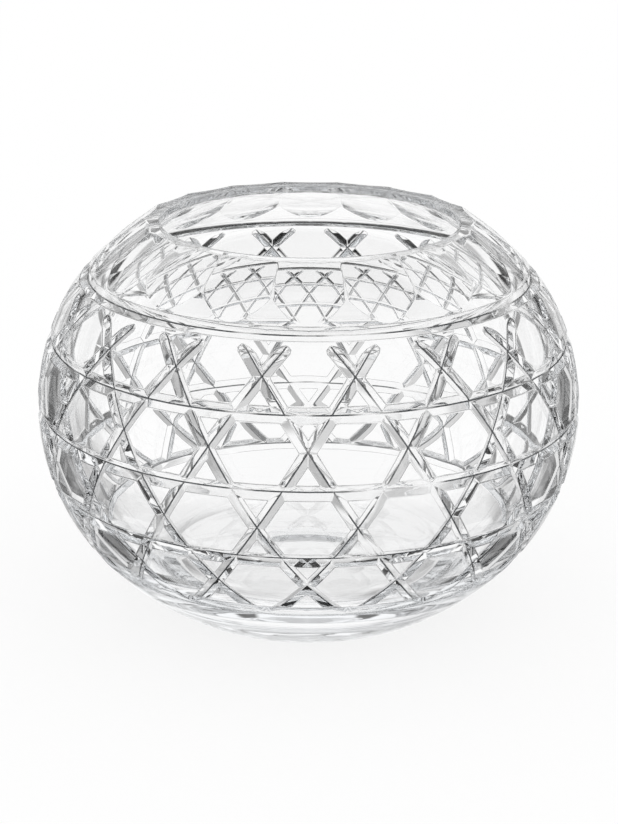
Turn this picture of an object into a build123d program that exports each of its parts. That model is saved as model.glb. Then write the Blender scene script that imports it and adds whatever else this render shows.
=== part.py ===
"""Rose bowl vase: one piece of clear crystal, blown thick and then cut by hand.

The blank is a hollow, nearly round bowl with a narrow mouth. All the pattern
is cut into its outside: hollow panels round the neck, level mitre rings, and
two families of slanting mitre cuts that cross between the rings and leave
a three-way cane lattice of hexagons and small triangles.

Millimetres. +Z is up, the foot stands on Z = 0 and the bowl's axis is Z.
A crossing of the lattice and a neck panel face -Y, the side that is seen.
"""

import os
from math import atan2, cos, degrees, radians, sin, sqrt, tan

from build123d import *

# Overall size, and the proportions of the blown blank
bowl_diameter = 200.0
bowl_height = 144.0
equator_height = 0.521 * bowl_height
neck_ring_diameter = 0.82 * bowl_diameter
foot_ring_diameter = 0.826 * bowl_diameter
neck_blank_diameter = 0.64 * bowl_diameter
rim_across_flats = 0.585 * bowl_diameter

# Glass thickness and the round inside
equator_wall = 6.5
shoulder_wall = 6.0
cavity_lift = 1.5
rim_width = 4.5
floor_thickness = 15.0
floor_corner = 43.0
rim_bevel = 0.5
foot_bevel = 1.0

# Polished hollow under the foot
punt_diameter = 52.0
punt_depth = 2.2

# Cut lattice: rises are measured up and down from the equator
lattice_columns = 18
lattice_lean = 32.0
inner_ring_rise = 0.18 * bowl_height
outer_ring_rise = 0.347 * bowl_height
ring_cut_width = 5.5
cane_cut_width = 4.7
mitre_angle = 115.0

# Neck panels, hollow across like the round wheel that grinds them
panel_toe_gap = 0.5
panel_hollow = 113.0

# How far a cutting tool stands clear of the surface it cuts
tool_clearance = 1.5

# Sizes that follow from the ones above
bowl_radius = bowl_diameter / 2
punt_radius = punt_diameter / 2
neck_ring_radius = neck_ring_diameter / 2
foot_ring_radius = foot_ring_diameter / 2
neck_blank_radius = neck_blank_diameter / 2
rim_apothem = rim_across_flats / 2
mouth_radius = rim_apothem - rim_width
column_pitch = 360 / lattice_columns
half_mitre = radians(mitre_angle / 2)
lean = radians(lattice_lean)
ring_cut_depth = ring_cut_width / 2 / tan(half_mitre)
cane_cut_depth = cane_cut_width / 2 / tan(half_mitre)


def arc_radius(drop, rise):
    """Radius of the arc that starts upright and moves in by drop over rise."""
    return (rise**2 + drop**2) / (2 * drop)


upper_arc = arc_radius(bowl_radius - neck_ring_radius, outer_ring_rise)
lower_arc = arc_radius(bowl_radius - foot_ring_radius, outer_ring_rise)


def body_arc(rise):
    """Radius of the outline's arc above or below the equator."""
    return upper_arc if rise > 0 else lower_arc


def surface_normal(rise):
    """Outward direction of the uncut lattice zone, as (radius, height)."""
    return Vector(sqrt(body_arc(rise) ** 2 - rise**2), rise) / body_arc(rise)


def on_surface(rise):
    """Point of the uncut lattice zone's outline, as (radius, height)."""
    arc_center = Vector(bowl_radius - body_arc(rise), equator_height)
    return arc_center + surface_normal(rise) * body_arc(rise)


def mitre(tip_depth):
    """Corners of the V that a mitre wheel cuts, X pointing out of the glass."""
    half_width = (tip_depth + tool_clearance) * tan(half_mitre)
    return [(-tip_depth, 0), (tool_clearance, half_width), (tool_clearance, -half_width)]


# Below the lowest ring the glass runs on as a plain sphere down to the foot
plain_rise = -outer_ring_rise - ring_cut_width
plain_start = on_surface(plain_rise)
plain_radius = plain_start.X / surface_normal(plain_rise).X
plain_center = plain_start.Y - plain_radius * surface_normal(plain_rise).Y


def plain_surface(height):
    """Point of the plain zone's outline, as (radius, height)."""
    return Vector(sqrt(plain_radius**2 - (plain_center - height) ** 2), height)


# Inside: it follows the outside from the mouth down, then rounds off to a flat floor
cavity_radius = bowl_radius - equator_wall
cavity_height = equator_height + cavity_lift
shoulder_arc = upper_arc - shoulder_wall
shoulder_center = cavity_radius - shoulder_arc
mouth_height = cavity_height + sqrt(shoulder_arc**2 - (mouth_radius - shoulder_center) ** 2)
belly_arc = lower_arc - equator_wall
belly_center = Vector(cavity_radius - belly_arc, cavity_height)
corner_drop = cavity_height - floor_thickness - floor_corner
corner_run = sqrt((belly_arc - floor_corner) ** 2 - corner_drop**2)
corner_reach = belly_arc / (belly_arc - floor_corner)
corner_start = belly_center + Vector(corner_run, -corner_drop) * corner_reach
floor_edge = (belly_center.X + corner_run, floor_thickness)

# The neck panels start on the rim and end just above the highest ring's cut
neck_start = on_surface(outer_ring_rise)
neck_end = Vector(neck_blank_radius, bowl_height)
neck_direction = (neck_end - neck_start).normalized()
panel_toe = neck_start + neck_direction * (ring_cut_width / 2 + panel_toe_gap)
panel_run = (panel_toe.X - rim_apothem) / (bowl_height - panel_toe.Y)

# The slanting cuts follow a circle through three points of the surface, in a
# plane that crosses the equator at the lattice's lean
cane_plane = Plane(
    origin=(0, 0, equator_height),
    x_dir=(1, 0, 0),
    z_dir=(0, -cos(lean), sin(lean)),
)
cane_points = []
for rise in (outer_ring_rise, 0, -outer_ring_rise):
    ahead = sqrt(on_surface(rise).X ** 2 - (rise * tan(lean)) ** 2)
    cane_points.append(cane_plane.from_local_coords(Vector(ahead, rise / cos(lean))))
wheel_path = ThreePointArc(*cane_points)
wheel_center = wheel_path.arc_center
wheel_start = (cane_points[0] - wheel_center).normalized()
wheel_end = (cane_points[2] - wheel_center).normalized()

with BuildPart() as cane_cutter:
    with BuildSketch(Plane(cane_points[0], wheel_start, cane_plane.z_dir.cross(wheel_start))):
        Polygon(*mitre(cane_cut_depth), align=None)
    revolve(
        axis=Axis(wheel_center, -cane_plane.z_dir),
        revolution_arc=wheel_start.get_angle(wheel_end),
    )

# Each panel's cutter lies along the panel, from above the rim to past the toe
panel_slope = Vector(panel_run, 0, -1).normalized()
panel_out = Vector(1, 0, panel_run).normalized()
panel_middle = Vector(rim_apothem, 0, bowl_height)
panel_reach = bowl_radius - rim_apothem
panel_width = 2 * neck_ring_radius * sin(radians(column_pitch))
with BuildPart() as panel_cutter:
    with BuildSketch(Plane(panel_middle, panel_out, panel_slope)):
        Rectangle(panel_reach, panel_width, align=(Align.MIN, Align.CENTER))
        with Locations((panel_hollow, 0)):
            Circle(panel_hollow, mode=Mode.INTERSECT)
    extrude(amount=panel_reach, both=True)

with BuildPart() as crystal_bowl:
    # Blown blank
    with BuildSketch(Plane.XZ):
        with BuildLine():
            foot_edge = plain_surface(0) - Vector(foot_bevel, 0)
            foot_side = plain_surface(foot_bevel)
            Polyline(floor_edge, (0, floor_thickness), (0, punt_depth))
            RadiusArc((0, punt_depth), (punt_radius, 0), arc_radius(punt_depth, punt_radius))
            Polyline((punt_radius, 0), foot_edge, foot_side)
            RadiusArc(foot_side, plain_start, -plain_radius)
            RadiusArc(plain_start, on_surface(0), -lower_arc)
            RadiusArc(on_surface(0), neck_start, -upper_arc)
            mouth_edge = (mouth_radius, mouth_height)
            Polyline(neck_start, neck_end, (mouth_radius, bowl_height), mouth_edge)
            RadiusArc(mouth_edge, (cavity_radius, cavity_height), shoulder_arc)
            RadiusArc((cavity_radius, cavity_height), corner_start, belly_arc)
            RadiusArc(corner_start, floor_edge, floor_corner)
        make_face()
    revolve(axis=Axis.Z)

    # Hollow panels round the neck, one to each column of the lattice
    with PolarLocations(0, lattice_columns, start_angle=-90):
        add(panel_cutter.part, mode=Mode.SUBTRACT)
    chamfer(crystal_bowl.faces().sort_by(Axis.Z)[-1].edges(), rim_bevel)

    # Level rings, a little deeper than the slanting cuts that end in them
    for rise in (outer_ring_rise, inner_ring_rise, 0, -inner_ring_rise, -outer_ring_rise):
        point = on_surface(rise)
        normal = surface_normal(rise)
        tilt = degrees(atan2(normal.Y, normal.X))
        with BuildSketch(Plane.XZ):
            with Locations(Location((point.X, point.Y), tilt)):
                Polygon(*mitre(ring_cut_depth), align=None)
        revolve(axis=Axis.Z, mode=Mode.SUBTRACT)

    # Slanting cuts, leaning one way and then the other
    quarter_column = column_pitch / 4
    with PolarLocations(0, lattice_columns, start_angle=-90 - quarter_column):
        add(cane_cutter.part, mode=Mode.SUBTRACT)
    mirrored_cutter = mirror(cane_cutter.part, about=Plane.XZ, mode=Mode.PRIVATE)
    with PolarLocations(0, lattice_columns, start_angle=-90 + quarter_column):
        add(mirrored_cutter, mode=Mode.SUBTRACT)

crystal_bowl.part.label = "crystal_bowl"

os.makedirs("parts", exist_ok=True)
export_step(crystal_bowl.part, "parts/crystal_bowl.step")
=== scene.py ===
# %% [markdown]
# The rose bowl is one piece of clear crystal, and its imported model comes in first.
# Everything after this cell is measured from it, so its box is kept at once.

# %% Load the bowl
import math

import bpy
import numpy as np
from mathutils import Matrix, Vector
from mathutils.geometry import delaunay_2d_cdt


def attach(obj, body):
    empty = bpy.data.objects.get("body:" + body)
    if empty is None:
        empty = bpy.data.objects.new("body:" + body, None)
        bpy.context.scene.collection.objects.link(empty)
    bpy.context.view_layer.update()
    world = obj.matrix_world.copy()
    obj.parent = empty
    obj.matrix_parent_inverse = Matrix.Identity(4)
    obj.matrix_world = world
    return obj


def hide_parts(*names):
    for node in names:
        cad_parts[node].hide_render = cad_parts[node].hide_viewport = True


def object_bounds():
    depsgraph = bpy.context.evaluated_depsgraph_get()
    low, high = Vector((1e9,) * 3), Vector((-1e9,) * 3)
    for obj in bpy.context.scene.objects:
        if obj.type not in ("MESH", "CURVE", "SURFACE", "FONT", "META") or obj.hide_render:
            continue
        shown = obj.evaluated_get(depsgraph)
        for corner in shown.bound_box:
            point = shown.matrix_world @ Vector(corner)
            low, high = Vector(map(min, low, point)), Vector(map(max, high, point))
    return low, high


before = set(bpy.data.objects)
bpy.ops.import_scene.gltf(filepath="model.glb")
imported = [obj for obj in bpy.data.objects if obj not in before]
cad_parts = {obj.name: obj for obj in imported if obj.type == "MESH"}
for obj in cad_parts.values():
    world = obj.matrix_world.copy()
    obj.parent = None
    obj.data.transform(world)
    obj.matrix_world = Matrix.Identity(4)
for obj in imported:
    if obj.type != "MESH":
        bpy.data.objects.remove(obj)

cad_box = [list(corner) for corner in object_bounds()]
bowl_height = cad_box[1][2] - cad_box[0][2]
solid_faces = len(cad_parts["crystal_bowl"].data.polygons)
print("bowl is", round(bowl_height * 1000, 1), "mm high, with", solid_faces, "faces")

# %% [markdown]
# Clear glass shows every facet of its mesh twice over, once at the front wall and once
# through it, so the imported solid's flat triangles would break up the light. A subdivision
# surface would round the cuts away. Here the cut surface is written as a sum instead: how
# far does a point lie outside the blank, and how deep inside a cut? A mesh can then be laid
# on it with points only where the cuts turn, and with exact normals. First comes the blown
# blank, whose outline is measured as a way up from the equator.

# %% The blown blank
mm = bowl_height / 144
bowl_radius = 100 * mm
equator = 0.521 * bowl_height
neck_ring_radius = 0.82 * bowl_radius
foot_ring_radius = 0.826 * bowl_radius
neck_blank_radius = 0.64 * bowl_radius
rim_apothem = 0.585 * bowl_radius
outer_rise = 0.347 * bowl_height
inner_rise = 0.18 * bowl_height
ring_half = 2.75 * mm
rim_round = 0.4 * mm
foot_round = 1.0 * mm


def arc_radius(drop, rise):
    """Radius of the arc that starts upright and moves in by drop over rise."""
    return (rise**2 + drop**2) / (2 * drop)


upper_arc = arc_radius(bowl_radius - neck_ring_radius, outer_rise)
lower_arc = arc_radius(bowl_radius - foot_ring_radius, outer_rise)
top_tilt = math.asin(outer_rise / upper_arc)
plain_tilt = -math.asin((outer_rise + 2 * ring_half) / lower_arc)
plain_edge = bowl_radius - lower_arc * (1 - math.cos(plain_tilt))
plain_radius = plain_edge / math.cos(plain_tilt)
plain_center = equator + (lower_arc - plain_radius) * math.sin(plain_tilt)
foot_tilt = math.asin((foot_round - plain_center) / plain_radius)
neck_foot = np.array([neck_ring_radius, equator + outer_rise])
neck_line = np.array([neck_blank_radius, bowl_height]) - neck_foot
neck_along = neck_line / np.hypot(*neck_line)

way_top = upper_arc * top_tilt
way_plain = lower_arc * plain_tilt
way_foot = way_plain + plain_radius * (foot_tilt - plain_tilt)
way_rim = way_top + (bowl_height - rim_round - neck_foot[1]) / neck_along[1]
way_marks = [way_foot, way_plain, 0, way_top, way_rim]
print("outline runs", round((way_rim - way_foot) / mm, 1), "mm from foot to rim")

# %% [markdown]
# The outline is three arcs and a straight neck. One function walks along it, and another
# says how far any point stands off it.

# %% On and off the blank
def outline(way):
    """Radius and height on the uncut blank, a way up from the equator along its outline."""
    tilt = np.interp(way, way_marks, [foot_tilt, plain_tilt, 0, top_tilt, top_tilt])
    arc = np.where(way > 0, upper_arc, lower_arc)
    plain = way < way_plain
    up = np.maximum(way - way_top, 0)
    radius = np.where(plain, plain_radius * np.cos(tilt), bowl_radius - arc * (1 - np.cos(tilt)))
    height = np.where(plain, plain_center + plain_radius * np.sin(tilt), equator + arc * np.sin(tilt))
    return radius + up * neck_along[0], height + up * neck_along[1]


def above_blank(radius, height, way):
    """How far a point lies outside the uncut blank."""
    neck = (radius - neck_foot[0]) * neck_along[1] - (height - neck_foot[1]) * neck_along[0]
    upper = np.hypot(radius - bowl_radius + upper_arc, height - equator) - upper_arc
    lower = np.hypot(radius - bowl_radius + lower_arc, height - equator) - lower_arc
    plain = np.hypot(radius, height - plain_center) - plain_radius
    return np.select([way > way_top, way > 0, way > way_plain], [neck, upper, lower], plain)


def place(angle, radius, height):
    """A point at an angle round the bowl from its front, as x, y and z."""
    return radius * np.sin(angle), -radius * np.cos(angle), height


print("rim radius", round(float(outline(way_rim)[0]) / mm, 1), "mm before the panels are cut")

# %% [markdown]
# A mitre wheel has a V-shaped rim, so it leaves a V groove. Five level rings are cut by
# turning the bowl against such a wheel. The depth of a point inside a ring is worked out
# in the ring's own cross-section. Acid polishing rounds the valley a little, which is what
# the small value in the square root does.

# %% Level rings
mitre_angle = 115
half_mitre = math.radians(mitre_angle / 2)
valley = 0.10 * mm


def mitre(lift, side, half_width):
    """How deep a point lies inside the V of a cut that is two half widths wide."""
    depth = half_width / math.tan(half_mitre)
    return (lift + depth) * math.sin(half_mitre) - np.hypot(side, valley) * math.cos(half_mitre)


def ring_place(rise):
    """The way along the outline to a ring at some rise over the equator."""
    arc = upper_arc if rise > 0 else lower_arc
    return arc * math.asin(rise / arc)


ring_ways = [ring_place(rise) for rise in (outer_rise, inner_rise, 0, -inner_rise, -outer_rise)]


def across_ring(radius, height, way):
    """Where a point lies in a ring's cross-section: over its middle, and beside it."""
    ring_radius, ring_height = outline(way)
    tilt = way / (upper_arc if way > 0 else lower_arc)
    out, along = radius - ring_radius, height - ring_height
    lift = out * math.cos(tilt) + along * math.sin(tilt)
    return lift, along * math.cos(tilt) - out * math.sin(tilt)


def in_rings(radius, height):
    """Depth inside the nearest of the level rings."""
    return np.max([mitre(*across_ring(radius, height, way), ring_half) for way in ring_ways], axis=0)


print(len(ring_ways), "rings,", round(ring_half / math.tan(half_mitre) / mm, 2), "mm deep")

# %% [markdown]
# The slanting cuts lie in planes that lean, and in each plane the wheel follows a circle
# through three points of the outline. Eighteen lean one way and eighteen the other, and
# with the rings they leave the hexagons and small triangles of a three-way cane pattern.
# One column of the pattern is its own mirror image, so only half a column is ever worked
# out, and only the five cuts that reach it count.

# %% Slanting cuts
columns = 18
half_pitch = math.pi / columns
lean = math.radians(32)
cane_half = 2.35 * mm
tip_start = outer_rise - 6.0 * mm
tip_round = 2.4 * mm


def wheel_circle():
    """Centre (ahead, up) and radius of the circle that a slanting cut follows."""
    passed = []
    for way in (ring_ways[0], 0.0, ring_ways[-1]):
        radius, height = outline(way)
        ahead = math.sqrt(radius**2 - ((height - equator) * math.tan(lean)) ** 2)
        passed.append((ahead, (height - equator) / math.cos(lean)))
    rows = [[2 * ahead, 2 * up, 1] for ahead, up in passed]
    squares = [ahead**2 + up**2 for ahead, up in passed]
    middle_ahead, middle_up, rest = np.linalg.solve(rows, squares)
    return middle_ahead, middle_up, math.sqrt(rest + middle_ahead**2 + middle_up**2)


wheel_ahead, wheel_up, wheel_radius = wheel_circle()


def across_cane(x, y, z, start, hand):
    """Where a point lies in the cross-section of the cut that leaves the equator at start."""
    front = x * math.sin(start) - y * math.cos(start)
    across = x * math.cos(start) + y * math.sin(start)
    up = hand * across * math.sin(lean) + (z - equator) * math.cos(lean)
    lift = np.hypot(front - wheel_ahead, up - wheel_up) - wheel_radius
    lift = lift - np.maximum(z - equator - tip_start, 0) ** 2 / (2 * tip_round)
    return lift, across * math.cos(lean) - hand * (z - equator) * math.sin(lean)


def in_cane(x, y, z, start, hand):
    """Depth inside one slanting cut, which leans to one hand and stops in the outer rings."""
    depth = mitre(*across_cane(x, y, z, start, hand), cane_half)
    return np.where(np.abs(z - equator) < outer_rise, depth, -bowl_radius)


canes = []
for hand, turns in ((1, (0, 1)), (-1, (-1, 0, 1))):
    canes += [((2 * turn - hand / 2) * half_pitch, hand) for turn in turns]
print("cut circles are", round(wheel_radius / mm, 1), "mm in radius,", len(canes), "reach half a column")

# %% [markdown]
# Round the neck, a flat round wheel has ground one shallow hollow above each column. It is
# part of a cylinder that lies along the neck's slope. Where two cuts meet, or a cut meets
# the blank, polishing has rounded the edge. soft_max does that: it is the larger of two
# depths, with the corner between them eased over a small width.

# %% Neck panels and the whole cut surface
panel_hollow = 113 * mm
panel_polish = 0.08 * mm
cut_polish = 0.20 * mm
panel_toe_gap = 0.5 * mm
panel_toe = neck_foot + neck_along * (ring_half + panel_toe_gap)
panel_run = (panel_toe[0] - rim_apothem) / (bowl_height - panel_toe[1])
panel_out = np.array([1, panel_run]) / math.hypot(1, panel_run)


def in_panel(x, y, z, turn):
    """Depth inside the neck panel that faces the angle turn."""
    front = x * math.sin(turn) - y * math.cos(turn)
    across = x * math.cos(turn) + y * math.sin(turn)
    out = (front - rim_apothem) * panel_out[0] + (z - bowl_height) * panel_out[1]
    return panel_hollow - np.hypot(panel_hollow - out, across)


def soft_max(one, other, width):
    """The larger of two depths, with the edge between them rounded over width."""
    near = np.maximum(width - np.abs(one - other), 0)
    return np.maximum(one, other) + near**2 / (4 * width)


def outside(x, y, z, way):
    """How far a point lies outside the cut bowl, and by how much a mitre cut rules there."""
    radius = np.hypot(x, y)
    leaning = {1: -bowl_radius, -1: -bowl_radius}
    for start, hand in canes:
        leaning[hand] = np.maximum(leaning[hand], in_cane(x, y, z, start, hand))
    lattice = soft_max(leaning[1], leaning[-1], cut_polish)
    cuts = soft_max(lattice, in_rings(radius, z), cut_polish)
    panels = soft_max(in_panel(x, y, z, 0.0), in_panel(x, y, z, 2 * half_pitch), panel_polish)
    uncut = soft_max(above_blank(radius, z, way), panels, panel_polish)
    return soft_max(uncut, cuts, cut_polish), cuts - uncut


def beside_valley(x, y, z):
    """How far a point lies beside the valley of the deepest cut there."""
    radius = np.hypot(x, y)
    depths = [mitre(*across_ring(radius, z, way), ring_half) for way in ring_ways]
    depths += [in_cane(x, y, z, start, hand) for start, hand in canes]
    sides = [across_ring(radius, z, way)[1] for way in ring_ways]
    sides += [across_cane(x, y, z, start, hand)[1] for start, hand in canes]
    deepest = np.argmax(depths, axis=0)
    return np.abs(np.take_along_axis(np.array(sides), deepest[None], axis=0)[0])


front_point = np.array(place(0.0, *outline(np.array(0.0))))
print("the front ring is cut", round(float(outside(*front_point, 0.0)[0]) / mm, 2), "mm deep at the equator")

# %% [markdown]
# Half a column is now drawn flat, like a paper pattern: angle across, way up. The pattern's
# own lines go in first, so that the triangles' edges follow them: both edges of each groove
# and the two sides of its rounded valley.

# %% Lines of the cuts
polish_in = 0.84 * cut_polish
edge_in = polish_in / math.cos(half_mitre)
edge_out = cut_polish / math.cos(half_mitre)
valley_edge = 2 * valley
ring_offsets = (-ring_half - edge_out, edge_in - ring_half, -valley_edge)
ring_offsets += tuple(-offset for offset in reversed(ring_offsets))
lines = []
for way in ring_ways:
    for offset in ring_offsets:
        lines.append((np.array([0, half_pitch]), np.full(2, way + offset)))

cane_step = 1.6 * mm
ring_offsets_met = ring_offsets + (-ring_half, 0, ring_half)
ring_marks = [way + offset for way in ring_ways for offset in ring_offsets_met]
even_ways = np.arange(ring_ways[-1], ring_ways[0], cane_step)
cane_ways = np.unique(np.concatenate([even_ways, ring_marks]))
cane_ways = cane_ways[(cane_ways > ring_ways[-1]) & (cane_ways < ring_ways[0])]
cane_radius, cane_height = outline(cane_ways)
widest = 2.5 * cane_half
narrowest = 0.02 * mm


def cane_line(start, hand, side):
    """Angles at which a line beside the middle of a slanting cut passes cane_ways."""
    across = side + hand * math.sin(lean) * (cane_height - equator)
    return start + np.arcsin(across / (math.cos(lean) * cane_radius))


def cane_edge(start, hand, side, deeper):
    """Angles at which the cut is a little deeper than what it meets, the land or a ring."""
    met = np.maximum(in_rings(cane_radius, cane_height), 0) + deeper
    low, high = np.zeros(len(cane_ways)), np.full(len(cane_ways), widest)
    for _ in range(30):
        middle = (low + high) / 2
        spot = place(cane_line(start, hand, side * middle), cane_radius, cane_height)
        deep = in_cane(*spot, start, hand) > met
        low, high = np.where(deep, middle, low), np.where(deep, high, middle)
    return np.where(low > narrowest, cane_line(start, hand, side * low), np.nan)


for start, hand in canes:
    for side in (1, -1):
        lines.append((cane_line(start, hand, side * valley_edge), cane_ways))
        lines.append((cane_edge(start, hand, side, -cut_polish), cane_ways))
        lines.append((cane_edge(start, hand, side, polish_in), cane_ways))
print(len(lines), "lines follow the grooves")

# %% [markdown]
# Where two slanting cuts cross, four ridges run out from the crossing, straight up, down and
# to the sides. They are narrow, so each gets a line beside it too. The toe of a neck panel
# is a curve that is found by trying points until the panel just reaches the blank.

# %% Lines of the crossings and panel toes
ridge_reach = 3 * cane_half
ridge_width = 1.76 * cut_polish
ridge_side = 1.1 * cut_polish
for step in (-3, -1, 1, 3):
    low, high = -way_top, way_top
    for _ in range(50):
        way = (low + high) / 2
        radius, height = outline(np.array(way))
        if math.asin((height - equator) * math.tan(lean) / radius) < step * half_pitch / 2:
            low = way
        else:
            high = way
    middle = 0.0 if step in (1, -3) else half_pitch
    inwards = 1 if middle == 0 else -1
    for up in (-ridge_width, ridge_width):
        lines.append((middle + inwards * np.array([0, ridge_reach / radius]), np.full(2, way + up)))
    beside = np.full(5, middle + inwards * ridge_side / radius)
    lines.append((beside, way + ridge_reach * np.linspace(-1.6, 1.6, 5)))

fan_count = 11
fan = np.linspace(0, half_pitch, fan_count)
for deeper in (-panel_polish, panel_polish):
    low, high = np.full(fan_count, way_top), np.full(fan_count, way_rim)
    for _ in range(40):
        middle = (low + high) / 2
        deep = in_panel(*place(fan, *outline(middle)), 0.0) > deeper
        low, high = np.where(deep, low, middle), np.where(deep, middle, high)
    lines.append((fan, low))
arris_gap = 0.4 * mm
arris_length = 9 * mm
arris = half_pitch - arris_gap / rim_apothem
lines.append((np.full(6, arris), np.linspace(way_rim, way_rim - arris_length, 6)))
print(len(lines), "lines with crossings, toes and the arris between panels")

# %% [markdown]
# The lines are cut off at the sides of the half column, and points are added along its
# border. The pattern is flat, so an angle is drawn as a width, at about the bowl's radius.

# %% A flat pattern of lines
flat_scale = 95 * mm
border_gap = 0.8 * mm


def in_wedge(angles, ways):
    """The runs of a line that lie inside the half column."""
    runs = [[]]
    for a, b, low, high in zip(angles, angles[1:], ways, ways[1:]):
        ends = sorted((-a / (b - a), (half_pitch - a) / (b - a))) if a != b else (0.0, 1.0)
        first, last = max(ends[0], 0.0), min(ends[1], 1.0)
        if not first < last:
            runs.append([])
            continue
        pair = []
        for share in (first, last):
            angle = min(max(a + share * (b - a), 0.0), half_pitch)
            pair.append((angle * flat_scale, low + share * (high - low)))
        if runs[-1] and runs[-1][-1] != pair[0]:
            runs.append([])
        runs[-1] += pair[len(runs[-1]) > 0:]
    return [run for run in runs if len(run) > 1]


pattern = [run for angles, ways in lines for run in in_wedge(angles, ways)]
for border in (0.0, half_pitch * flat_scale):
    marks = {way for run in pattern for across, way in run if abs(across - border) < 1e-10}
    even = np.linspace(way_foot, way_rim, 60)
    marks |= {way for way in even if min(abs(way - mark) for mark in marks) > border_gap}
    pattern.append([(border, way) for way in sorted(marks | {way_foot, way_rim})])
rim_angles = np.append(np.linspace(0, half_pitch, 6), arris)
pattern.append([(angle * flat_scale, way_rim) for angle in sorted(rim_angles)])
pattern.append([(angle * flat_scale, way_foot) for angle in np.linspace(0, half_pitch, 6)])
print(len(pattern), "runs in the flat pattern")

# %% [markdown]
# Where there is room between the lines, rows of points fill it. Blender's own Delaunay
# routine then joins all the points into triangles and keeps every line as an edge. A grid
# of squares would need far more faces to follow lines that lean.

# %% Triangles
row_step = 2.6 * mm
point_step = 3 * mm
free_gap = 1.1 * mm
touching = 2e-6
points = [spot for run in pattern for spot in run]
ends = np.cumsum([len(run) for run in pattern]) - 1
edges = [(i, i + 1) for i in range(len(points) - 1) if i not in set(ends)]
taken = np.array(points)
for row, way in enumerate(np.arange(way_foot, way_rim, row_step)):
    first = point_step / 2 * (1 + row % 2)
    for across in np.arange(first, half_pitch * flat_scale, point_step):
        if np.hypot(taken[:, 0] - across, taken[:, 1] - way).min() > free_gap:
            points.append((across, way))
found = delaunay_2d_cdt([Vector(spot) / mm for spot in points], edges, [], 0, 1e-3)
spots = np.array([spot[:] for spot in found[0]]) * mm
triangles = np.array(found[2])


def snapped(values, low, high):
    """Values kept between two limits, and put exactly on a limit that they nearly touch."""
    values = np.where(values < low + touching, low, values)
    return np.where(values > high - touching, high, values)


angles = snapped(spots[:, 0] / flat_scale, 0.0, half_pitch)
ways = snapped(spots[:, 1], way_foot, way_rim)
print("half a column has", len(spots), "points and", len(triangles), "triangles")

# %% [markdown]
# Each point of the flat pattern starts on the blank and is pushed into the glass until it
# meets the cut surface, by halving the gap forty times. The slope of the same sum gives the
# surface's exact direction there, and that becomes the normal.

# %% Onto the cut surface
radius, height = outline(ways)
tilt = np.interp(ways, way_marks, [foot_tilt, plain_tilt, 0, top_tilt, 0])
shallowest, deepest = -0.3 * mm, 9 * mm
mark_limit = 2
low, high = np.full(len(ways), shallowest), np.full(len(ways), deepest)
for _ in range(40):
    middle = (low + high) / 2
    trial = place(angles, radius - middle * np.cos(tilt), height - middle * np.sin(tilt))
    proud = outside(*trial, ways)[0] > 0
    low, high = np.where(proud, middle, low), np.where(proud, high, middle)
skin = np.stack(trial, 1)
skin_normals = np.zeros_like(skin)
slope_step = 0.005 * mm
for axis in range(3):
    nudge = slope_step * np.eye(3)[axis]
    rise = outside(*(skin + nudge).T, ways)[0] - outside(*(skin - nudge).T, ways)[0]
    skin_normals[:, axis] = rise
skin_marks = np.stack([outside(*skin.T, ways)[1], beside_valley(*skin.T)], 1) / mm
skin_marks = np.clip(skin_marks, -mark_limit, mark_limit)
print("deepest cut", round(float(middle.max()) / mm, 2), "mm")
print((skin_marks[:, 0] > 0).sum(), "points lie in cuts")

# %% [markdown]
# The inside of a blown bowl is smooth. It follows the outside with a nearly even wall and
# rounds off to a flat floor. A lathe shape suits it: rows of a profile, each with the normal
# of its arc. The lip, where the inside meets the rim, has melted round in the fire.

# %% Profile of the inside
quarter = math.pi / 2
equator_wall = 6.5 * mm
shoulder_wall = 6.0 * mm
floor_thickness = 15.0 * mm
floor_corner = 43.0 * mm
mouth_round = 1.0 * mm
lip_round = 1.5 * mm
rim_width = 4.5 * mm
cavity_lift = 1.5 * mm
mouth_radius = rim_apothem - rim_width
cavity_radius = bowl_radius - equator_wall
cavity_height = equator + cavity_lift
shoulder_arc = upper_arc - shoulder_wall
belly_arc = lower_arc - equator_wall


def arc(center, size, first, last, count, out):
    """Rows along an arc, with normals that point out of it (1) or in (-1)."""
    turn = np.linspace(first, last, count)
    ray = np.stack([np.cos(turn), np.sin(turn)], 1)
    return np.concatenate([np.array(center) + size * ray, out * ray], 1)


def level_run(first, last, height, count, up):
    """Rows along a level stretch between two radii, which faces up or down."""
    rows = np.zeros((count, 4))
    rows[:, 0] = np.linspace(first, last, count)
    rows[:, 1] = height
    rows[:, 3] = up
    return rows


shoulder_center = np.array([cavity_radius - shoulder_arc, cavity_height])
lip_ahead = mouth_radius + lip_round - shoulder_center[0]
lip_up = math.sqrt((shoulder_arc + lip_round) ** 2 - lip_ahead**2)
lip_turn = math.atan2(lip_up, lip_ahead)
lip_center = shoulder_center + (lip_ahead, lip_up)
mouth_center = (mouth_radius + mouth_round, bowl_height - mouth_round)
belly_center = np.array([cavity_radius - belly_arc, cavity_height])
corner_drop = cavity_height - floor_thickness - floor_corner
corner_run = math.sqrt((belly_arc - floor_corner) ** 2 - corner_drop**2)
corner_turn = math.atan2(-corner_drop, corner_run)
corner_center = belly_center + (corner_run, -corner_drop)
level_floor = corner_center[0] * 0.66
inside = np.concatenate([
    arc(mouth_center, mouth_round, quarter, math.pi, 6, 1),
    arc(lip_center, lip_round, math.pi, math.pi + lip_turn, 6, 1),
    arc(shoulder_center, shoulder_arc, lip_turn, 0, 26, -1)[1:],
    arc(belly_center, belly_arc, 0, corner_turn, 16, -1)[1:],
    arc(corner_center, floor_corner, corner_turn, -quarter, 22, -1)[1:],
    level_run(level_floor, 0, floor_thickness, 3, 1),
])
print("the mouth is", round(2 * mouth_radius / mm, 1), "mm wide")
print(len(inside), "rows lead down to the floor")

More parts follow.
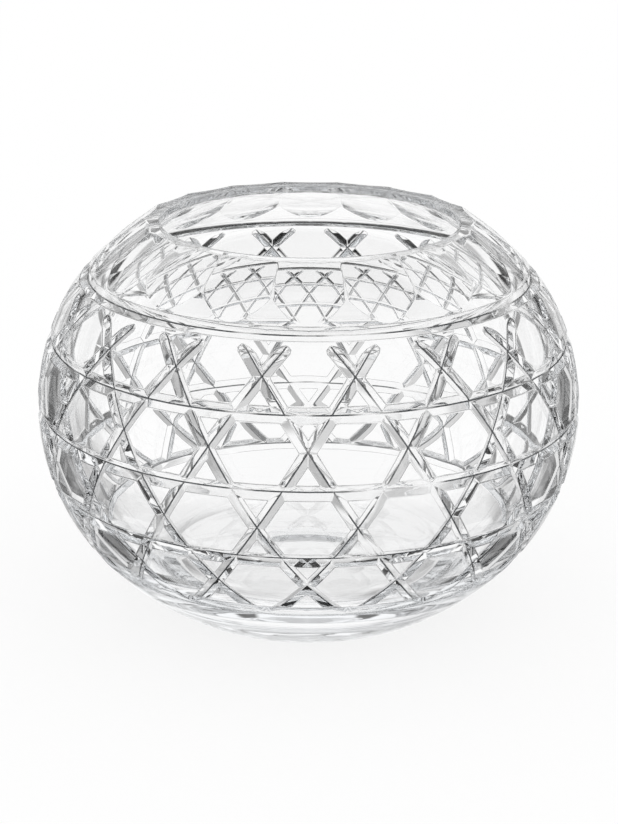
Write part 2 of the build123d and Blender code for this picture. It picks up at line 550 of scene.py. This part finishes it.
# %% [markdown]
# The foot is ground flat, and the scar of the blower's iron has been polished out to a
# shallow hollow in its middle, the punt. The top of the rim is ground flat as well.

# %% Profiles of the rim and the foot
punt_radius = 26.0 * mm
punt_depth = 2.2 * mm
punt_arc = arc_radius(punt_depth, punt_radius)
punt_turn = math.asin(punt_radius / punt_arc)
foot_edge = plain_radius * math.cos(foot_tilt)
foot_reach = math.sqrt(plain_radius**2 - plain_center**2) - foot_round
foot_mid = (foot_tilt - quarter) / 2
foot_bulge, foot_ease = 0.15 * mm, 0.3 * mm
foot_corner = (foot_edge + foot_reach) / 2 + foot_bulge
foot_bevel = [foot_corner, foot_ease, math.cos(foot_mid), math.sin(foot_mid)]
punt_edge = punt_radius + 0.4 * mm
underside = np.concatenate([
    [foot_bevel],
    level_run(foot_reach, punt_edge, 0, 5, -1),
    arc((0, punt_depth - punt_arc), punt_arc, quarter - punt_turn, quarter, 12, -1),
])
rim = np.where(ways == way_rim)[0]
rim = rim[np.argsort(angles[rim])]
rim_edge = np.hypot(skin[rim, 0], skin[rim, 1])
rim_mid = (math.atan2(panel_out[1], panel_out[0]) + quarter) / 2
rim_corner, rim_drop, rim_flat = 0.55 * mm, 0.07 * mm, 1.0 * mm
rim_top = [
    (rim_edge - rim_corner, bowl_height - rim_drop, math.cos(rim_mid), math.sin(rim_mid)),
    (rim_edge - rim_flat, bowl_height, 0.0, 1.0),
]
foot = np.where(ways == way_foot)[0]
foot = foot[np.argsort(angles[foot])]
print("the foot is", round(2 * foot_reach / mm, 1), "mm wide, with a punt", punt_depth / mm, "mm deep")

# %% [markdown]
# Both profiles are hung on the finished skin like skirts, so that the mesh stays one closed
# sheet: each starts with the skin's own border points and carries on row by row.

# %% Skirts on the skin
sheets = [(skin, skin_normals, skin_marks, triangles)]


def skirt(border, rows, way):
    """A sheet that carries on from the skin's border along more rows, upwards (1) or down (-1)."""
    turn = angles[border]
    sheet, sheet_normals = [skin[border]], [skin_normals[border]]
    for radius, height, out, up in rows:
        sheet.append(np.stack(np.broadcast_arrays(*place(turn, radius, height)), 1))
        sheet_normals.append(np.stack(np.broadcast_arrays(*place(turn, out, up)), 1))
    wide = len(turn)
    corner = (np.arange(len(rows))[:, None] * wide + np.arange(wide - 1)).ravel()
    first_half = np.stack([corner, corner + 1, corner + 1 + wide], 1)
    second_half = np.stack([corner, corner + 1 + wide, corner + wide], 1)
    sheet = np.concatenate(sheet)
    faces = np.concatenate([first_half, second_half])[:, ::way]
    smooth = np.tile((-float(mark_limit), float(mark_limit)), (len(sheet), 1))
    sheets.append((sheet, np.concatenate(sheet_normals), smooth, faces))


skirt(rim, rim_top + [tuple(row) for row in inside], 1)
skirt(foot, [tuple(row) for row in underside], -1)
print("half a column has", sum(len(faces) for _, _, _, faces in sheets), "triangles with its skirts")

# %% [markdown]
# The half column is mirrored and turned round the axis, thirty-six copies in all. Points
# that meet are made one, so the mesh closes, and triangles that shrink to a line on the axis
# are dropped.

# %% All round the bowl
turned = []
count = 0
for sheet, sheet_normals, sheet_marks, faces in sheets:
    for turn in range(columns):
        c, s = math.cos(2 * turn * half_pitch), math.sin(2 * turn * half_pitch)
        for mirror in (1, -1):
            spin = np.array([[mirror * c, mirror * s, 0], [-s, c, 0], [0, 0, 1]])
            turned.append((sheet @ spin, sheet_normals @ spin, sheet_marks, faces[:, ::mirror] + count))
            count += len(sheet)
points, normals, marks, faces = (np.concatenate(kind) for kind in zip(*turned))
_, first, meets = np.unique(np.round(points / mm, 4), axis=0, return_index=True, return_inverse=True)
points, normals, marks, faces = points[first], normals[first], marks[first], meets.reshape(-1)[faces]
faces = faces[(faces != np.roll(faces, 1, axis=1)).all(1)]
normals[np.hypot(points[:, 0], points[:, 1]) < 1e-6 * bowl_radius] *= (0, 0, 1)
normals /= np.linalg.norm(normals, axis=1)[:, None]
corners = points[faces]
area = np.cross(corners[:, 1] - corners[:, 0], corners[:, 2] - corners[:, 0])
wrong = (area * normals[faces].sum(1)).sum(1) < 0
volume = np.einsum("ij,ij->", corners[:, 0], np.cross(corners[:, 1], corners[:, 2])) / 6
print(len(points), "points,", len(faces), "triangles,", wrong.sum(), "the wrong way")
print("glass", round(volume / mm**3), "cubic mm")

# %% [markdown]
# The points and triangles become a Blender mesh. The exact normals go in as custom normals,
# so that light bends at every point as the true surface would bend it. How far a point lies
# in a cut, and how far beside the cut's valley, are kept as two attributes in millimetres,
# which the material reads later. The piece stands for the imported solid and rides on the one
# body there is.

# %% The bowl as a mesh
mesh = bpy.data.meshes.new("cut_bowl")
mesh.from_pydata(points.tolist(), [], faces.tolist())
mesh.polygons.foreach_set("use_smooth", np.ones(len(faces), bool))
for name, values in zip(("into_cut", "beside_valley"), marks.T.astype(np.float32)):
    mesh.attributes.new(name, "FLOAT", "POINT").data.foreach_set("value", values)
mesh.normals_split_custom_set_from_vertices(normals.tolist())
cut_bowl = bpy.data.objects.new("cut_bowl", mesh)
bpy.context.collection.objects.link(cut_bowl)
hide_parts("crystal_bowl")
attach(cut_bowl, "root")
print(cut_bowl.name, "measures", [round(side * 1000, 1) for side in cut_bowl.dimensions], "mm")

# %% [markdown]
# A material in Blender is a small graph of nodes. Drawn by hand in code, each sum would
# take several lines, so one class wraps a socket and lets Python's own operators add the
# Math nodes. Every other node comes from the one method that takes its type, its settings
# and what its sockets get.

# %% Nodes as expressions
class Wire:
    """One output socket of a node; arithmetic on it adds Math nodes beside it."""

    def __init__(self, socket):
        self.socket = socket
        self.tree = socket.id_data

    @staticmethod
    def node(tree, kind, settings=None, sockets=None, output=0):
        """Add a node: settings first, then a value or a wire for each socket."""
        made = tree.nodes.new(kind)
        for name, value in (settings or {}).items():
            setattr(made, name, value)
        for name, value in (sockets or {}).items():
            if isinstance(value, Wire):
                tree.links.new(value.socket, made.inputs[name])
            else:
                made.inputs[name].default_value = value
        return Wire(made.outputs[output]) if made.outputs else made

    def maths(self, operation, *values):
        sockets = dict(enumerate(values))
        return Wire.node(self.tree, "ShaderNodeMath", {"operation": operation}, sockets)

    def __add__(self, other):
        return self.maths("ADD", self, other)

    def __radd__(self, other):
        return self.maths("ADD", other, self)

    def __sub__(self, other):
        return self.maths("SUBTRACT", self, other)

    def __rsub__(self, other):
        return self.maths("SUBTRACT", other, self)

    def __mul__(self, other):
        return self.maths("MULTIPLY", self, other)

    def __rmul__(self, other):
        return self.maths("MULTIPLY", other, self)


def fresh_tree(owner):
    """The owner's node tree with nothing in it."""
    owner.use_nodes = True
    owner.node_tree.nodes.clear()
    return owner.node_tree


print("nodes can be written as sums")

# %% [markdown]
# Crystal is heavier than window glass and bends light more, which is why its cuts sparkle.
# The blown lands are fire-polished and perfectly smooth. The cuts were ground by a wheel and
# polished afterwards, so they keep a trace of satin and fine wheel marks along the groove.
# Blown glass is never quite even either: a slow, very shallow wave in its skin makes the far
# side swim a little. The mesh's attribute into_cut tells the two finishes apart.
#
# The edges and valleys of real cuts show as hair-thin dark lines, because their tiny curves
# throw the light far aside. A mesh that fine would be huge, so these lines are painted shade
# in the base colour, and the slow wave breaks them here and there.

# %% Crystal
crystal = bpy.data.materials.new("crystal")
tree = fresh_tree(crystal)


def rise_over(value, low, high):
    """0 below low and 1 above high, with a smooth rise between them."""
    sockets = {"Value": value, "From Min": low, "From Max": high}
    return Wire.node(value.tree, "ShaderNodeMapRange", {"interpolation_type": "SMOOTHSTEP"}, sockets)


# Masks for the painted shade lines along the cut edges and in the valleys.
groove_fade = 0.2
edge_line_width = 0.11
valley_core, valley_fade = 0.22, 0.34
edge_share = 0.9
into_cut = Wire.node(tree, "ShaderNodeAttribute", {"attribute_name": "into_cut"}, output=2)
beside = Wire.node(tree, "ShaderNodeAttribute", {"attribute_name": "beside_valley"}, output=2)
groove = rise_over(into_cut, 0.0, groove_fade)
edge_line = 1 - rise_over(into_cut.maths("ABSOLUTE", into_cut), 0.0, edge_line_width)
valley_line = groove * (1 - rise_over(beside, valley_core, valley_fade))
line = valley_line.maths("MAXIMUM", valley_line, edge_share * edge_line)
print("edge lines fade over", edge_line_width, "mm and valley lines by", valley_fade, "mm")

# %% [markdown]
# With the masks ready, the finish itself is short: one Principled shader for the surface and
# a faint absorption for the depth of the glass, which keeps thick parts from looking empty.

# %% Surface and depth of the crystal
white = (1.0, 1.0, 1.0, 1.0)
black = (0.0, 0.0, 0.0, 1.0)
# Near-black of the painted shade lines, which stand in for light thrown aside at edges and valleys.
painted_shade_black = (0.006, 0.007, 0.008, 1.0)
mix_share, mix_first, mix_second = 0, 6, 7
spot = Wire.node(tree, "ShaderNodeTexCoord", output=3)
wheel_sockets = {"Vector": spot, "Scale": 420.0, "Detail": 2.0}
wheel_marks = Wire.node(tree, "ShaderNodeTexNoise", {}, wheel_sockets)
wave = Wire.node(tree, "ShaderNodeTexNoise", {}, {"Vector": spot, "Scale": 60.0, "Detail": 1.0})
satin = groove * (0.004 + 0.016 * wheel_marks)
skin_height = 0.004 * wave + 0.0002 * (groove * wheel_marks)
grain_sockets = {"Height": skin_height, "Strength": 1.0, "Distance": 0.01}
grain = Wire.node(tree, "ShaderNodeBump", {}, grain_sockets)
# Painted shade: the dark edge and valley lines go into the base colour, broken here and there by the wave.
broken_shade_line = line * rise_over(wave, 0.25, 0.45)
tint_sockets = {mix_share: broken_shade_line, mix_first: white, mix_second: painted_shade_black}
painted_line_shade = Wire.node(tree, "ShaderNodeMix", {"data_type": "RGBA"}, tint_sockets, output=2)
glass_sockets = {"Base Color": painted_line_shade, "Roughness": satin, "Normal": grain}
glass_sockets |= {"IOR": 1.54, "Transmission Weight": 1.0}
glass = Wire.node(tree, "ShaderNodeBsdfPrincipled", {}, glass_sockets)
depth_sockets = {"Color": (0.96, 0.972, 0.985, 1.0), "Density": 8.0}
depth = Wire.node(tree, "ShaderNodeVolumeAbsorption", {}, depth_sockets)
Wire.node(tree, "ShaderNodeOutputMaterial", {}, {"Surface": glass, "Volume": depth})
mesh.materials.append(crystal)
print("crystal has", len(tree.nodes), "nodes")

# %% [markdown]
# The bowl stands on plain white paper. The camera sees the paper and the bowl's soft shadow
# on it. A ray that has been through the glass, or thrown back by it, passes the paper, so
# the glass shows the studio all round, as it would on a glass table lit from below.

# %% Floor
paper_size = 6.0
paper_drop = 0.2 * mm
paper_glow = 0.85
bpy.ops.mesh.primitive_plane_add(size=paper_size, location=(0.0, 0.0, -paper_drop))
floor = bpy.context.object
floor.name = "floor"
paper = bpy.data.materials.new("white_paper")
tree = fresh_tree(paper)
matt = Wire.node(tree, "ShaderNodeBsdfDiffuse", {}, {"Color": white})
clear = Wire.node(tree, "ShaderNodeBsdfTransparent")


def seen_by_camera(tree):
    """1 for light that comes straight to the camera, and 0 for the rest."""
    return Wire.node(tree, "ShaderNodeLightPath")


def seen_by_glass(tree):
    """1 for light on its way to the camera by way of glass, and 0 for the rest."""
    path = Wire.node(tree, "ShaderNodeLightPath").socket.node
    bent = Wire(path.outputs["Is Transmission Ray"])
    thrown_back = Wire(path.outputs["Is Glossy Ray"])
    return bent.maths("MAXIMUM", bent, thrown_back)


lit = Wire.node(tree, "ShaderNodeEmission", {}, {"Color": white, "Strength": 1.0})
glow = paper_glow * seen_by_camera(tree)
shaded = Wire.node(tree, "ShaderNodeMixShader", {}, {0: glow, 1: matt, 2: lit})
laid = Wire.node(tree, "ShaderNodeMixShader", {}, {0: seen_by_glass(tree), 1: shaded, 2: clear})
Wire.node(tree, "ShaderNodeOutputMaterial", {}, {"Surface": laid})
floor.data.materials.append(paper)
print("paper is", [round(side, 1) for side in floor.dimensions[:2]], "m wide and deep")

# %% [markdown]
# Clear glass has no colour of its own to show: it is drawn by what stands round it. In
# a plain white room its edges vanish, so photographers of glass stand dark cards beside the
# white backdrop. The cuts then pick up the dark and draw themselves as lines. Here the room
# is the world's own light. Each card is a soft-edged patch, given by its bearing from the
# middle of the backdrop and its height, both in degrees.

# %% Studio
room = bpy.data.worlds.new("room")
bpy.context.scene.world = room
tree = fresh_tree(room)
direction = Wire.node(tree, "ShaderNodeTexCoord", output=0)
axes = Wire.node(tree, "ShaderNodeSeparateXYZ", {}, {"Vector": direction}).socket.node
east, north, high = (Wire(axis) for axis in axes.outputs)
bearing = east.maths("ARCTAN2", east, north) * math.degrees(1)
level = high.maths("ARCSINE", high) * math.degrees(1)
aside = bearing.maths("ABSOLUTE", bearing)


def between(value, low, high, soft):
    """1 between low and high, falling to 0 over a soft edge."""
    return rise_over(value, low - soft, low + soft) - rise_over(value, high - soft, high + soft)


print("directions are read as bearing and height in degrees")

# %% [markdown]
# The cards are chosen for the side that the camera sees. Two tall dark flags beside the
# backdrop draw the slanting cuts, dark ground under the camera draws the low crossings, and
# two narrow strips draw the far crossings seen through the mouth. The rest only takes some
# glare off. Only rays through or off the glass see the cards: the paper and the camera have
# plain white all round.

# %% Cards in the studio
to_left = 0 - bearing
flag_far = 50
cards = [
    ("room behind the camera", aside, (95, 200), (2, 54), 5, 0.85),
    ("ceiling", aside, (-1, 200), (54, 100), 6, 0.45),
    ("over the backdrop", aside, (-1, flag_far), (26, 56), 3, 0.55),
    ("strip across the backdrop", aside, (-2, 9), (6.5, 13.5), 1, 0.0),
    ("strips beside it", aside, (12, 26), (-1.5, 7), 1, 0.0),
    ("low on the left", to_left, (13, 66), (-38, -20), 3, 0.45),
    ("low on the right", bearing, (9, 48), (-58, -25), 3, 0.65),
    ("ground under the camera", aside, (70, 210), (-95, -30), 4, 0.0),
]
for name, side, near in (("left flag", to_left, 30.5), ("right flag", bearing, 28)):
    for heights, tone in (((-48, -31), 0.0), ((-31, -4), 0.15), ((-4, 12), 0.0)):
        cards.append((name, side, (near, flag_far), heights, 2, tone))
shade = 1.0
for name, across, bearings, heights, soft, tone in cards:
    patch = between(across, *bearings, soft) * between(level, *heights, soft)
    shade = shade + (tone - shade) * patch
    print(name, "has tone", tone, "at heights", heights)

# %% [markdown]
# The shade becomes the world's grey. Cut glass passes light on many times, so Cycles is
# allowed more bounces than usual; with too few, the deep cuts would turn black.

# %% Light of the room
gray_sockets = {mix_share: shade, mix_first: black, mix_second: white}
gray = Wire.node(tree, "ShaderNodeMix", {"data_type": "RGBA"}, gray_sockets, output=2)
studio = Wire.node(tree, "ShaderNodeBackground", {}, {"Color": gray, "Strength": 1.0})
plain = Wire.node(tree, "ShaderNodeBackground", {}, {"Color": white, "Strength": 1.0})
mixed = Wire.node(tree, "ShaderNodeMixShader", {}, {0: seen_by_glass(tree), 1: plain, 2: studio})
Wire.node(tree, "ShaderNodeOutputWorld", {}, {"Surface": mixed})
bpy.context.scene.view_settings.view_transform = "Standard"
bpy.context.scene.cycles.max_bounces = 32
bpy.context.scene.cycles.transmission_bounces = 32
bpy.context.scene.cycles.glossy_bounces = 16
print("the studio has", len(tree.nodes), "nodes")

# %% [markdown]
# The camera looks down on the bowl a little, from just under a metre away, with a long lens
# as for a catalogue.

# %% Camera
look_down = math.radians(18.59)
look_at = Vector((0.0, 0.0, 84.8 * mm))
distance = 876.56 * mm
step_right, step_up = 0.2 * mm, -13.9 * mm
head_tilt = math.radians(0.42)
ahead = Vector((0.0, math.cos(look_down), -math.sin(look_down)))
right = Vector((1.0, 0.0, 0.0))
up = right.cross(ahead)
camera = bpy.data.objects.new("camera", bpy.data.cameras.new("camera"))
bpy.context.collection.objects.link(camera)
stand = look_at - distance * ahead + step_right * right + step_up * up
turn = Matrix((right, up, -ahead)).transposed().to_4x4()
camera.matrix_world = Matrix.Translation(stand) @ turn @ Matrix.Rotation(head_tilt, 4, "Z")
camera.data.lens = 103.38
camera.data.sensor_width = 36.0
camera.data.clip_start = 0.01
bpy.context.scene.camera = camera
print("camera stands", round(distance / mm), "mm from the bowl")
